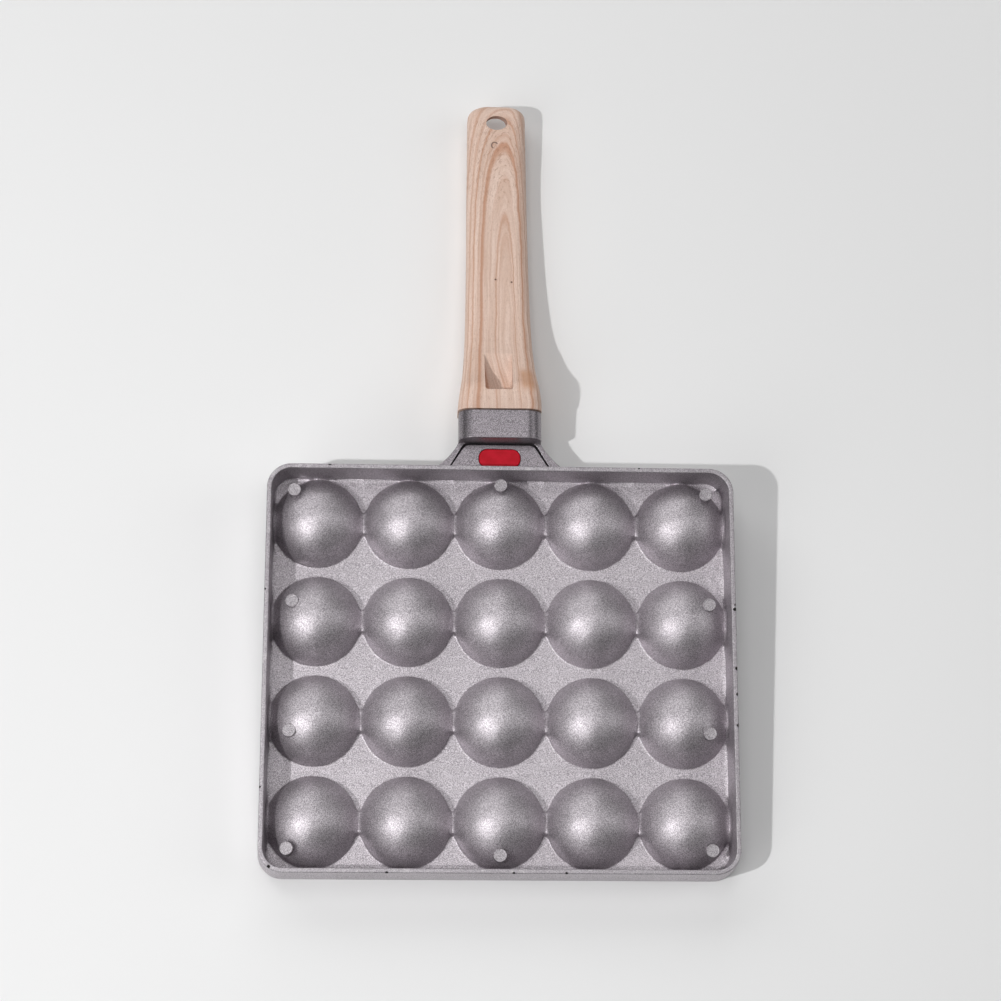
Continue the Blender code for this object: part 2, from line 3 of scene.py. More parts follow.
import bmesh
import bpy
import numpy as np
from mathutils import Matrix, Vector


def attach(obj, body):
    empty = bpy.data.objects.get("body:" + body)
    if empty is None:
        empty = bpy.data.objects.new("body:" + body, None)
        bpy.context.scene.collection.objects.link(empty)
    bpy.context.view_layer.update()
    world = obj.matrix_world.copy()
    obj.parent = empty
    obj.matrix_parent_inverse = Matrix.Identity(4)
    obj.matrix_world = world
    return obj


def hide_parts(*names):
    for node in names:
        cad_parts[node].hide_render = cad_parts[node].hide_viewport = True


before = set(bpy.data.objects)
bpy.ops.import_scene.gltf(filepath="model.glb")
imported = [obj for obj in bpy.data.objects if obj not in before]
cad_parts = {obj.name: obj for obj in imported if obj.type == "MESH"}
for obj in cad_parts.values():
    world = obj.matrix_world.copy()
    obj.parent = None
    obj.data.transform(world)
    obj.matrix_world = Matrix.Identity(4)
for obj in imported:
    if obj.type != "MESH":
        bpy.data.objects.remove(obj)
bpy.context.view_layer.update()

# The pan is one aluminium casting: a plate with four rows of five cups, a skirt round it and a
# lug behind it for the handle. It lies upside down in a grey non-stick coating with a fine
# flake, which is darker on the lug, rubbed on the posts and chipped along the skirt's edge.
MM = 0.001
REST_TILT = math.radians(4.371)
REST_PLACE = Vector((0, -107.74, 10.99)) * MM
CUP_COLUMNS, CUP_ROWS = 5, 4
COLUMN_STEP = 47.0 * MM
ROW_STEP = 51.3 * MM
CUP_OUTSIDE = 22.9 * MM
CUP_INSIDE = 20.0 * MM
CUP_CENTRE = -2.0 * MM
CUP_FILLET = 0.9 * MM
MOUTH_FILLET = 1.4 * MM
WEB_HALF_WIDTH = 5.3 * MM
WEB_TOP = 2.8 * MM
WEB_EDGE = 0.6 * MM
WEB_FILLET = 3.0 * MM
PLATE = 3.0 * MM
RIM_HALF_WIDTH = 119.55 * MM
RIM_HALF_LENGTH = 103.70 * MM
RIM_CORNER = 12.5 * MM
RIM_WALL = 2.4 * MM
WALL_FOOT_HALF_WIDTH = 116.8 * MM
WALL_FOOT_HALF_LENGTH = 101.3 * MM
WALL_FOOT_CORNER = 10.2 * MM
WALL_FILLET = 3.8 * MM
SKIRT_HEIGHT = 22.4 * MM
OUTER_DRAFT = 1.3 * MM
RIM_EDGE = 0.5 * MM
POST_RADIUS = 3.3 * MM
POST_TOP = 18.5 * MM
POST_EDGE = 0.2 * MM
POST_RIM = 0.5 * MM
POST_DISH = 0.2 * MM
POST_DISH_SLOPE = 0.25 * MM
LUG_FRONT = 102.6 * MM
LUG_END = 119.8 * MM
LUG_ROOT_HALF_WIDTH = 29.0 * MM
LUG_END_HALF_WIDTH = 17.8 * MM
LUG_CORNER = 2.2 * MM
LUG_SLANT = 1.2
LUG_LOW, LUG_TOP = -2.6 * MM, 4.0 * MM
LUG_EDGE = 0.35 * MM
PLUG_PLACE = 112.5 * MM
PLUG_HALF_WIDTH = 10.8 * MM
PLUG_HALF_LENGTH = 4.9 * MM
PLUG_CORNER = 4.3 * MM
PLUG_GAP = 0.12 * MM
RECESS_FLOOR = 1.2 * MM
SAME_PLACE = 0.01 * MM
COAT_METAL = 0.85


class Wire:
    """A value on its way through a finish. Sums on it become nodes."""

    def __init__(self, finish, socket):
        self.finish = finish
        self.socket = socket

    def sum(self, operation, *values):
        return self.finish.node("ShaderNodeMath", {"operation": operation}, values)

    def __add__(self, other):
        return self.sum("ADD", self, other)

    __radd__ = __add__

    def __sub__(self, other):
        return self.sum("SUBTRACT", self, other)

    def __rsub__(self, other):
        return self.sum("SUBTRACT", other, self)

    def __mul__(self, other):
        return self.sum("MULTIPLY", self, other)

    __rmul__ = __mul__

    def __truediv__(self, other):
        return self.sum("DIVIDE", self, other)

    def __rtruediv__(self, other):
        return self.sum("DIVIDE", other, self)

    def __pow__(self, other):
        return self.sum("POWER", self, other)

    def __abs__(self):
        return self.sum("ABSOLUTE", self)

    def at_least(self, other):
        return self.sum("MAXIMUM", self, other)

    def at_most(self, other):
        return self.sum("MINIMUM", self, other)


class Finish:
    """A surface finish: a material, and the nodes that feed its shader."""

    def __init__(self, name, metallic=0.0):
        self.material = bpy.data.materials.new(name)
        self.material.use_nodes = True
        self.tree = self.material.node_tree
        self.shader = self.tree.nodes["Principled BSDF"]
        self.shader.inputs["Metallic"].default_value = metallic
        self.place = self.node("ShaderNodeTexCoord", {}, {}, "Object")

    def node(self, kind, settings, sockets, output=0):
        node = self.tree.nodes.new(kind)
        for name, value in settings.items():
            if name == "stops":
                ramp = node.color_ramp
                ramp.interpolation = "EASE"
                while len(ramp.elements) < len(value):
                    ramp.elements.new(1)
                for element, (position, level) in zip(ramp.elements, value):
                    element.position = position
                    element.color = (level, level, level, 1)
            else:
                setattr(node, name, value)
        for name, value in (sockets.items() if isinstance(sockets, dict) else enumerate(sockets)):
            self.feed(node.inputs[name], value)
        return Wire(self, node.outputs[output])

    def feed(self, socket, value):
        if isinstance(value, Wire):
            self.tree.links.new(value.socket, socket)
        else:
            socket.default_value = value

    def set(self, **values):
        for name, value in values.items():
            self.feed(self.shader.inputs[name.replace("_", " ")], value)

    def blend(self, share, first, second):
        return self.node("ShaderNodeMix", {"data_type": "RGBA"}, {0: share, 6: first, 7: second}, 2)

    def noise(self, grains_per_metre, detail=2.0, roughness=0.5, place=None):
        return self.node("ShaderNodeTexNoise", {}, {"Vector": place or self.place,
                                                    "Scale": grains_per_metre, "Detail": detail,
                                                    "Roughness": roughness})

    def from_to(self, value, low, high):
        """Rises smoothly from 0 at low to 1 at high, or falls where low is the greater."""
        low, high, start, end = (low, high, 0.0, 1.0) if low < high else (high, low, 1.0, 0.0)
        return self.node("ShaderNodeMapRange", {"interpolation_type": "SMOOTHSTEP"},
                         {0: value, 1: low, 2: high, 3: start, 4: end})

    def part(self, place, axis):
        return self.node("ShaderNodeSeparateXYZ", {}, [place], axis)

    def relief(self, height, depth):
        """Normals for a surface that a height from 0 to 1 raises by up to a depth."""
        return self.node("ShaderNodeBump", {}, {"Strength": 1.0, "Distance": depth,
                                                "Height": height})

    def give(self, piece):
        piece.data.materials.clear()
        piece.data.materials.append(self.material)


def tone(red, green, blue):
    """A screen colour, 0 to 255, as the linear colour that shaders mix."""
    return tuple(((share / 255 + 0.055) / 1.055) ** 2.4 for share in (red, green, blue)) + (1.0,)


def laid(x, y, z):
    """Where a point of the pan's own plane, in mm, comes to lie."""
    turned = Matrix.Rotation(REST_TILT, 4, "X") @ (Vector((x, y, z)) * MM)
    return tuple(turned + REST_PLACE)


def deselect():
    """Back to object mode with nothing selected."""
    if bpy.context.mode != "OBJECT":
        bpy.ops.object.mode_set(mode="OBJECT")
    bpy.ops.object.select_all(action="DESELECT")


def start(piece):
    """Selects one piece alone."""
    deselect()
    piece.select_set(True)
    bpy.context.view_layer.objects.active = piece


def pick(piece, kind, wanted):
    """In edit mode, selects the faces or edges that a test accepts."""
    bpy.ops.mesh.select_mode(type=kind)
    bpy.ops.mesh.select_all(action="DESELECT")
    shape = bmesh.from_edit_mesh(piece.data)
    for part in (shape.faces if kind == "FACE" else shape.edges):
        if wanted(part):
            part.select_set(True)
    bmesh.update_edit_mesh(piece.data)


def joined(pieces, name):
    """One piece, with a new name, from several."""
    deselect()
    for piece in pieces:
        piece.select_set(True)
    bpy.context.view_layer.objects.active = pieces[0]
    bpy.ops.object.join()
    whole = bpy.context.view_layer.objects.active
    whole.name = name
    whole.data.name = name
    return whole


def apply_all(piece):
    """Makes a piece's modifiers part of its mesh."""
    start(piece)
    for modifier in list(piece.modifiers):
        bpy.ops.object.modifier_apply(modifier=modifier.name)


def bevelled(piece, width, segments, angle):
    """Rounds the edges that are sharper than an angle, in degrees."""
    bevel = piece.modifiers.new("edges", "BEVEL")
    bevel.width = width
    bevel.segments = segments
    bevel.limit_method = "ANGLE"
    bevel.angle_limit = math.radians(angle)
    apply_all(piece)


def cut(piece, tool, operation="DIFFERENCE"):
    """Cuts a tool out of a piece, or adds it on with UNION, and uses the tool up."""
    boolean = piece.modifiers.new("cut", "BOOLEAN")
    boolean.operation = operation
    boolean.object = tool
    apply_all(piece)
    bpy.data.objects.remove(tool, do_unlink=True)


def placed(piece, matrix):
    """Moves a piece by a matrix and writes its place into its mesh."""
    start(piece)
    piece.matrix_world = matrix @ piece.matrix_world
    bpy.ops.object.transform_apply(location=True, rotation=True, scale=True)
    return piece


def lay_down(piece):
    """Takes a piece from the pan's own plane to where the pan lies."""
    placed(piece, Matrix.Translation(REST_PLACE) @ Matrix.Rotation(REST_TILT, 4, "X"))


def smooth(piece, angle):
    """Smooth shading up to an angle, in which the broad faces stay flat."""
    start(piece)
    bpy.ops.object.shade_smooth_by_angle(angle=math.radians(angle))
    weighted = piece.modifiers.new("flat faces", "WEIGHTED_NORMAL")
    weighted.keep_sharp = True
    weighted.weight = 100
    apply_all(piece)


def add_block(low, high):
    """Box between two corners, in metres, as the start of a piece."""
    deselect()
    low, high = Vector(low), Vector(high)
    bpy.ops.mesh.primitive_cube_add(size=1, location=(low + high) / 2, scale=high - low)
    bpy.ops.object.transform_apply(location=True, rotation=True, scale=True)
    return bpy.context.object


def add_drum(radius, low, high, vertices=32):
    """Cylinder on the Z axis between two levels, as the start of a piece."""
    deselect()
    bpy.ops.mesh.primitive_cylinder_add(vertices=vertices, radius=radius, depth=high - low,
                                        location=(0, 0, (low + high) / 2))
    bpy.ops.object.transform_apply(location=True, rotation=True, scale=True)
    return bpy.context.object


def upright(edge):
    """True for an edge that climbs, and not for one that lies level."""
    return abs(edge.verts[0].co.z - edge.verts[1].co.z) > 1 * MM


def lug_block(grow, low, high, behind=0.0):
    """The lug's tapered block, or the same grown on every side and further behind."""
    half_width, end = LUG_END_HALF_WIDTH + grow, LUG_END + grow + behind
    root_half_width = LUG_ROOT_HALF_WIDTH + LUG_SLANT * grow
    block = add_block((-half_width, LUG_FRONT - grow, low), (half_width, end, high))
    bpy.ops.object.mode_set(mode="EDIT")
    pick(block, "FACE", lambda face: face.normal.y < -0.9)
    bpy.ops.transform.resize(value=(root_half_width / half_width, 1, 1),
                             center_override=(0, 0, 0))
    pick(block, "EDGE", lambda edge: upright(edge) and edge.verts[0].co.y > end - 1 * MM)
    bpy.ops.mesh.bevel(offset=LUG_CORNER + grow, segments=6, affect="EDGES")
    bpy.ops.object.mode_set(mode="OBJECT")
    return block


def plug_block(grow, low, high):
    """The plug's rounded block, or the same grown into its recess."""
    half_width, half_length = PLUG_HALF_WIDTH + grow, PLUG_HALF_LENGTH + grow
    block = add_block((-half_width, PLUG_PLACE - half_length, low),
                      (half_width, PLUG_PLACE + half_length, high))
    bpy.ops.object.mode_set(mode="EDIT")
    pick(block, "EDGE", upright)
    bpy.ops.mesh.bevel(offset=PLUG_CORNER + grow, segments=12, affect="EDGES")
    bpy.ops.object.mode_set(mode="OBJECT")
    return block


def melt(first, second, width):
    """The nearer of two distances, with the corner between them filled."""
    overlap = np.maximum(width - np.abs(first - second), 0)
    return np.minimum(first, second) - overlap ** 2 / (4 * width)


def inside_wall(x, y):
    """Distance from the foot of the skirt's inner face."""
    across = np.abs(x) - (WALL_FOOT_HALF_WIDTH - WALL_FOOT_CORNER)
    along = np.abs(y) - (WALL_FOOT_HALF_LENGTH - WALL_FOOT_CORNER)
    outer = np.hypot(np.maximum(across, 0), np.maximum(along, 0))
    return WALL_FOOT_CORNER - outer - np.minimum(np.maximum(across, along), 0)


def halved(low, high, times, lies_low):
    """Closes in on where a test of the middle between two values turns false."""
    for step in range(times):
        middle = (low + high) / 2
        test = lies_low(middle)
        low = np.where(test, middle, low)
        high = np.where(test, high, middle)
    return low, high


def cup_centres():
    """Column, row and middle of every cup."""
    return [(column, row, (column - (CUP_COLUMNS - 1) / 2) * COLUMN_STEP,
             (row - (CUP_ROWS - 1) / 2) * ROW_STEP)
            for column in range(CUP_COLUMNS) for row in range(CUP_ROWS)]


def spread(a, b, column, row, cx, cy, ball):
    """Where the points of a square grid, from -1 to 1, come to lie round a cup from above.

    The inner rings of the grid become rings on the ball, down to its flank. The outer ones lie
    beyond it, up to halfway to the next cup or to the skirt's foot.
    """
    right = WALL_FOOT_HALF_WIDTH - cx if column == CUP_COLUMNS - 1 else COLUMN_STEP / 2
    left = WALL_FOOT_HALF_WIDTH + cx if column == 0 else COLUMN_STEP / 2
    back = WALL_FOOT_HALF_LENGTH - cy if row == CUP_ROWS - 1 else ROW_STEP / 2
    near = WALL_FOOT_HALF_LENGTH + cy if row == 0 else ROW_STEP / 2
    half_x = np.where(a >= 0, right, left)
    half_y = np.where(b >= 0, back, near)
    ring = np.maximum(np.abs(a), np.abs(b))
    tiny = 1e-9

    corner = np.arctan2(half_y, half_x)
    wide = np.abs(a) >= np.abs(b)
    aside = np.where(wide, np.abs(b) / np.maximum(np.abs(a), tiny),
                     np.abs(a) / np.maximum(np.abs(b), tiny))
    aside = 0.5 * aside + 0.5 * aside ** 4
    angle = np.where(wide, aside * corner, math.pi / 2 - aside * (math.pi / 2 - corner))
    dir_x = np.cos(angle) * np.where(a >= 0, 1, -1)
    dir_y = np.sin(angle) * np.where(b >= 0, 1, -1)

    clearance = 0.03 * MM
    full = np.minimum(half_x / np.maximum(np.abs(dir_x), tiny),
                      half_y / np.maximum(np.abs(dir_y), tiny))

    def clear(way):
        return inside_wall(cx + dir_x * way, cy + dir_y * way) > clearance

    up_to_wall, _ = halved(np.zeros(len(a)), full, 30, clear)
    reach = np.where(inside_wall(cx + dir_x * full, cy + dir_y * full) < clearance,
                     up_to_wall, full)

    ball_share, flank, room, widening = 0.64, math.radians(76), 0.35 * MM, 1.7
    side = np.minimum(ball * math.sin(flank), reach - room)
    steepest = np.arcsin(np.clip(side / ball, 0, 1))
    past = np.maximum(ring - ball_share, 0) / (1 - ball_share)
    radius = (ball * np.sin(steepest * np.minimum(ring / ball_share, 1))
              + (reach - side) * past ** widening)
    return cx + dir_x * radius, cy + dir_y * radius


def web_distance(aside, height):
    """Distance from the low web between two cups, which has rounded top edges."""
    beside, above = aside - WEB_HALF_WIDTH + WEB_EDGE, height - WEB_TOP + WEB_EDGE
    return (np.hypot(np.maximum(beside, 0), np.maximum(above, 0))
            + np.minimum(np.maximum(beside, above), 0) - WEB_EDGE)


def skin_height(x, y, cx, cy, ball, level, fillet, at_wall):
    """Height of the surface in which ball and plate, and skirt and webs, run together."""
    near_cups = [(ox, oy) for _, _, ox, oy in cup_centres()
                 if abs(ox - cx) + abs(oy - cy) < 1.2 * ROW_STEP]
    wall = inside_wall(x, y)

    def is_inside(height):
        skin = np.minimum.reduce([np.sqrt((x - ox) ** 2 + (y - oy) ** 2
                                          + (height - CUP_CENTRE) ** 2) - ball
                                  for ox, oy in near_cups])
        if at_wall:
            skin = melt(skin, wall, WALL_FILLET)
            skin = melt(skin, web_distance(np.abs(y - cy), height), WEB_FILLET)
        return melt(skin, height - level, fillet) < 0

    margin = 0.2 * MM
    low, high = halved(np.full(len(x), level - margin),
                       np.full(len(x), CUP_CENTRE + ball + margin), 34, is_inside)
    return (low + high) / 2


def cup_skin(name, steps, ball, level, fillet, at_wall):
    """One face of the plate with its cups, from a grid for each cup that meets the next one.

    At the wall, as on the underside, the skirt and the webs between the cups melt into it too.
    """
    cells = []
    for column, row, cx, cy in cup_centres():
        deselect()
        bpy.ops.mesh.primitive_grid_add(x_subdivisions=steps, y_subdivisions=steps, size=2)
        cell = bpy.context.object
        points = np.empty(len(cell.data.vertices) * 3)
        cell.data.vertices.foreach_get("co", points)
        points = points.reshape(-1, 3)
        x, y = spread(points[:, 0], points[:, 1], column, row, cx, cy, ball)
        z = skin_height(x, y, cx, cy, ball, level, fillet, at_wall)
        cell.data.vertices.foreach_set("co", np.stack((x, y, z), axis=1).ravel())
        cell.data.update()
        cells.append(cell)
    skin = joined(cells, name)
    bpy.ops.object.mode_set(mode="EDIT")
    bpy.ops.mesh.select_all(action="SELECT")
    bpy.ops.mesh.remove_doubles(threshold=SAME_PLACE)
    bpy.ops.object.mode_set(mode="OBJECT")
    return skin


underside = cup_skin("underside", 52, CUP_OUTSIDE, 0.0, CUP_FILLET, True)
cooking_side = cup_skin("cooking_side", 28, CUP_INSIDE, -PLATE, MOUTH_FILLET, False)
start(cooking_side)
bpy.ops.object.mode_set(mode="EDIT")
bpy.ops.mesh.select_all(action="SELECT")
bpy.ops.mesh.flip_normals()
bpy.ops.object.mode_set(mode="OBJECT")

skirt = add_block((-RIM_HALF_WIDTH, -RIM_HALF_LENGTH, -PLATE),
                  (RIM_HALF_WIDTH, RIM_HALF_LENGTH, SKIRT_HEIGHT))
bpy.ops.object.mode_set(mode="EDIT")
pick(skirt, "EDGE", upright)
bpy.ops.mesh.bevel(offset=RIM_CORNER, segments=14, affect="EDGES")
pick(skirt, "FACE", lambda face: face.normal.z < -0.9)
bpy.ops.transform.resize(value=(1 + OUTER_DRAFT / RIM_HALF_WIDTH,
                                1 + OUTER_DRAFT / RIM_HALF_LENGTH, 1),
                         center_override=(0, 0, 0))
pick(skirt, "FACE", lambda face: face.normal.z > 0.9)
bpy.ops.mesh.inset(thickness=RIM_WALL)
bpy.ops.mesh.extrude_region_move(TRANSFORM_OT_translate={"value": (0, 0, -SKIRT_HEIGHT)})
bpy.ops.transform.resize(value=(WALL_FOOT_HALF_WIDTH / (RIM_HALF_WIDTH - RIM_WALL),
                                WALL_FOOT_HALF_LENGTH / (RIM_HALF_LENGTH - RIM_WALL), 1),
                         center_override=(0, 0, 0))
bpy.ops.mesh.delete(type="FACE")
pick(skirt, "FACE", lambda face: face.normal.z < -0.9)
bpy.ops.mesh.inset(thickness=OUTER_DRAFT + RIM_HALF_WIDTH - WALL_FOOT_HALF_WIDTH)
bpy.ops.mesh.delete(type="FACE")
bpy.ops.object.mode_set(mode="OBJECT")
bevelled(skirt, RIM_EDGE, 3, 40)

post = add_drum(POST_RADIUS, -PLATE / 2, POST_TOP)
bpy.ops.object.mode_set(mode="EDIT")
pick(post, "FACE", lambda face: face.normal.z > 0.9)
bpy.ops.mesh.inset(thickness=POST_RIM)
bpy.ops.mesh.inset(thickness=POST_DISH_SLOPE)
bpy.ops.transform.translate(value=(0, 0, -POST_DISH))
bpy.ops.object.mode_set(mode="OBJECT")
bevelled(post, POST_EDGE, 2, 60)
# Where the posts stand, in mm across the pan and toward the handle.
POST_PLACES = ((-105.75, 90.9), (0, 94.4), (105.75, 90.9), (-105.75, 33.0), (106.6, 33.0),
               (-105.75, -33.0), (105.75, -33.0), (-105.75, -91.5), (0, -94.4), (105.75, -91.5))
posts = []
for x, y in POST_PLACES:
    copy = post.copy()
    copy.data = post.data.copy()
    bpy.context.collection.objects.link(copy)
    posts.append(placed(copy, Matrix.Translation((x * MM, y * MM, 0))))
bpy.data.objects.remove(post, do_unlink=True)

lug = lug_block(0, LUG_LOW, LUG_TOP)
cut(lug, plug_block(PLUG_GAP, RECESS_FLOOR, LUG_TOP + 2 * MM))
bevelled(lug, LUG_EDGE, 3, 50)


def flake_coat(finish, light, dark, flake):
    """Gives a sprayed coat the relief of its flakes, so many mm high, and returns its colour."""
    grain = finish.noise(2200.0, 1.0)
    cloud = finish.noise(26.0, 3.0)
    colour = finish.blend(finish.from_to(cloud * 0.12 + grain * 0.88, 0.38, 0.62), dark, light)
    finish.set(Normal=finish.relief(finish.noise(1800.0, 1.0), flake * MM))
    return colour


coat = Finish("flaked grey coating", COAT_METAL)
coat_colour = flake_coat(coat, tone(220, 214, 219), tone(156, 150, 155), 0.08)
pan_height = coat.part(coat.node("ShaderNodeMapping", {"vector_type": "TEXTURE"},
                                 {"Vector": coat.place, "Location": tuple(REST_PLACE),
                                  "Rotation": (REST_TILT, 0, 0)}), 2)
# The coat is painted darker along the top of the skirt, and flecked lighter where the coat is
# rubbed there.
edge = coat.from_to(pan_height, SKIRT_HEIGHT - 1.0 * MM, SKIRT_HEIGHT - 0.4 * MM)
rub = coat.from_to(coat.noise(300.0, 4.0, 0.7), 0.54, 0.68)
coat_colour = coat.blend(edge * 0.4, coat_colour, tone(140, 136, 140))
coat_colour = coat.blend(edge * rub * 0.4, coat_colour, tone(222, 220, 220))
# Where the skirt's edge is chipped, in mm as for the posts, and each chip's radius in mm.
CHIPS = ((119.0, 30.0, 0.9), (119.0, 32.4, 0.45), (119.6, 17.0, 0.4), (119.3, -0.4, 0.9),
         (119.4, -13.6, 0.8), (119.5, -29.4, 1.0), (32.5, -103.4, 0.7), (6.5, -103.5, 0.7),
         (-56.0, -103.6, 0.8), (-114.0, -101.0, 0.9), (-119.2, 38.0, 0.6), (-119.4, -62.0, 0.7),
         (71.0, 103.4, 0.6), (-88.0, 103.5, 0.8))
CHIP_LEVEL = 22.2
CHIP_RAGGEDNESS = 0.9 * MM
ragged = (coat.noise(900.0, 2.0) - 0.5) * CHIP_RAGGEDNESS
chip = 0.0
for x, y, radius in CHIPS:
    way = coat.node("ShaderNodeVectorMath", {"operation": "DISTANCE"},
                    {0: coat.place, 1: laid(x, y, CHIP_LEVEL)}, "Value")
    chip = coat.from_to(way + ragged, radius * 1.15 * MM, radius * 0.9 * MM) + chip
chip = chip.at_most(1.0)
coat.set(Base_Color=coat.blend(chip, coat_colour, tone(38, 34, 34)), Roughness=0.53 + 0.2 * chip)

dark_coat = Finish("flaked dark grey coating", COAT_METAL)
dark_coat.set(Base_Color=flake_coat(dark_coat, tone(166, 160, 165), tone(112, 106, 111), 0.06),
              Roughness=0.36)
post_coat = Finish("rubbed grey coating", COAT_METAL)
post_coat.set(Base_Color=flake_coat(post_coat, tone(196, 191, 195), tone(140, 135, 139), 0.08),
              Roughness=0.53)

for piece in (underside, cooking_side, skirt):
    coat.give(piece)
for piece in posts:
    post_coat.give(piece)
dark_coat.give(lug)
pan = joined([underside, cooking_side, skirt, lug] + posts, "pan_casting")
smooth(pan, 45)
lay_down(pan)
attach(pan, "root")
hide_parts("pan_body")


# The flame guard between pan and handle is a second aluminium casting, in the same dark coat as
# the lug. Its two arms hold the lug between them from below, with a thin gap all round, and its
# sleeve takes the handle's tenon.
GUARD_FRONT = 120.6 * MM
GUARD_BACK = 136.1 * MM
GUARD_MIDDLE = 3.1 * MM
GUARD_HALF_WIDTH = 21.6 * MM
GUARD_HALF_HEIGHT = 12.2 * MM
GUARD_WALL = 2.2 * MM
GUARD_CORNER = 8.0 * MM
GUARD_HOLLOW_CORNER = 5.8 * MM
GUARD_BULKHEAD = 4.0 * MM
GUARD_EDGE = 0.6 * MM
ARM_FOOT = 35.5 * MM
ARM_FRONT = 105.5 * MM
ARM_LOW, ARM_TOP = -5.9 * MM, 4.0 * MM
ARM_EDGE = 0.5 * MM
ARM_STEPS = 10
LUG_SHELF = -2.9 * MM
GAP_BESIDE_LUG = 0.5 * MM
GAP_BEHIND_LUG = 0.8 * MM


def sleeve_block(half_width, half_height, corner, front, back):
    """Block along the handle with its four long edges rounded."""
    block = add_block((-half_width, front, GUARD_MIDDLE - half_height),
                      (half_width, back, GUARD_MIDDLE + half_height))
    bpy.ops.object.mode_set(mode="EDIT")
    pick(block, "EDGE", lambda edge: abs(edge.verts[0].co.y - edge.verts[1].co.y) > 1 * MM)
    bpy.ops.mesh.bevel(offset=corner, segments=10, affect="EDGES")
    bpy.ops.object.mode_set(mode="OBJECT")
    return block


arms = add_block((-GUARD_HALF_WIDTH, GUARD_FRONT, ARM_LOW),
                 (GUARD_HALF_WIDTH, GUARD_FRONT + 2 * MM, ARM_TOP))
bpy.ops.object.mode_set(mode="EDIT")
pick(arms, "FACE", lambda face: face.normal.y < -0.9)
half_width = GUARD_HALF_WIDTH
for step in range(1, ARM_STEPS + 1):
    share = step / ARM_STEPS
    wider = GUARD_HALF_WIDTH + (share + share ** 2) / 2 * (ARM_FOOT - GUARD_HALF_WIDTH)
    bpy.ops.mesh.extrude_region_move(TRANSFORM_OT_translate={
        "value": (0, (ARM_FRONT - GUARD_FRONT) / ARM_STEPS, 0)})
    bpy.ops.transform.resize(value=(wider / half_width, 1, 1), center_override=(0, 0, 0))
    half_width = wider
bpy.ops.object.mode_set(mode="OBJECT")
cut(arms, lug_block(GAP_BESIDE_LUG, LUG_SHELF, ARM_TOP + 4 * MM, GAP_BEHIND_LUG))
bevelled(arms, ARM_EDGE, 3, 50)
sleeve = sleeve_block(GUARD_HALF_WIDTH, GUARD_HALF_HEIGHT, GUARD_CORNER, GUARD_FRONT, GUARD_BACK)
bevelled(sleeve, GUARD_EDGE, 3, 50)
cut(arms, sleeve, "UNION")
cut(arms, sleeve_block(GUARD_HALF_WIDTH - GUARD_WALL, GUARD_HALF_HEIGHT - GUARD_WALL,
                       GUARD_HOLLOW_CORNER, GUARD_FRONT + GUARD_BULKHEAD, GUARD_BACK + 5 * MM))
guard = arms
guard.name = guard.data.name = "flame_guard_casting"
smooth(guard, 40)
lay_down(guard)
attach(guard, "root")
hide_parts("flame_guard")
dark_coat.give(guard)


# A red silicone plug closes the recess in the lug, over the two screws that hold guard and pan
# together. It is moulded with softly rounded edges and sits almost level with the lug.
PLUG_LOW, PLUG_TOP = 1.5 * MM, 4.5 * MM
PLUG_EDGE = 0.7 * MM
plug = plug_block(0, PLUG_LOW, PLUG_TOP)
plug.name = plug.data.name = "silicone_plug"
bevelled(plug, PLUG_EDGE, 4, 60)
smooth(plug, 50)
lay_down(plug)
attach(plug, "root")
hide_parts("screw_plug")

silicone = Finish("red silicone")
bloom = silicone.noise(160.0, 3.0)
silicone.set(Base_Color=silicone.blend(silicone.from_to(bloom, 0.35, 0.65), tone(192, 16, 36),
                                       tone(206, 24, 46)),
             Roughness=0.55 + 0.1 * bloom,
             Normal=silicone.relief(silicone.noise(1400.0, 2.0), 0.03 * MM))
silicone.shader.inputs["Specular IOR Level"].default_value = 0.2
silicone.give(plug)


# The screws under the plug, and the bolt with its flat and spring washer at the end of the
# handle's pocket, are turned and pressed steel with a thin bright zinc plating.
zinc = Finish("zinc plated steel", 1.0)
zinc_cloud = zinc.noise(420.0, 4.0, 0.65)
turning = zinc.noise(2600.0, 2.0)
zinc.set(Base_Color=zinc.blend(zinc.from_to(zinc_cloud, 0.35, 0.68), tone(196, 196, 190),
                               tone(222, 222, 216)),
         Roughness=0.24 + 0.22 * zinc_cloud, Normal=zinc.relief(turning, 0.02 * MM))
for name in ("neck_screw_left", "neck_screw_right", "handle_bolt", "flat_washer",
             "spring_washer"):
    zinc.give(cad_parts[name])


# The handle is one piece of pale hardwood, shaped and sanded, with a tenon in the guard's
# sleeve, a wedge-shaped pocket that lets the bolt in, and a leaning oval hole to hang it by.
# It is left plain, so the grain shows: dark rings in arches, with short pores between them.
HANDLE_START = 136.4 * MM
HANDLE_LENGTH = 183.4 * MM
HANDLE_HALF_WIDTH = 21.9 * MM
HANDLE_HEIGHT = 24.5 * MM
HANDLE_MIDDLE = 3.3 * MM
HANDLE_CORNER = 7.0 * MM
HANDLE_END = 9.0 * MM
END_ROUNDNESS = 2.6
END_MARGIN = 0.18 * MM
TENON_LENGTH = 11.0 * MM
TENON_HALF_WIDTH = 19.1 * MM
TENON_HALF_HEIGHT = 9.7 * MM
TENON_CORNER = 5.6 * MM
POCKET_WALL = 147.4 * MM
POCKET_HALF_WIDTH = 7.3 * MM
POCKET_LENGTH = 30 * MM
POCKET_CORNER = 1.6 * MM
POCKET_OFFSET = -0.6 * MM
POCKET_SLOPE = math.radians(5)
BOLT_LEVEL = 7.8 * MM
HEAD_BORE_RADIUS, HEAD_BORE_START = 5.1 * MM, 140.38 * MM
SHANK_BORE_RADIUS, SHANK_BORE_START = 2.8 * MM, 119.0 * MM
HANG_HOLE_PLACE = 307.8 * MM
HANG_HOLE_WIDTH, HANG_HOLE_LENGTH = 11.6 * MM, 7.8 * MM
HANG_HOLE_LEAN = math.radians(18)
HANDLE_EDGE = 0.4 * MM
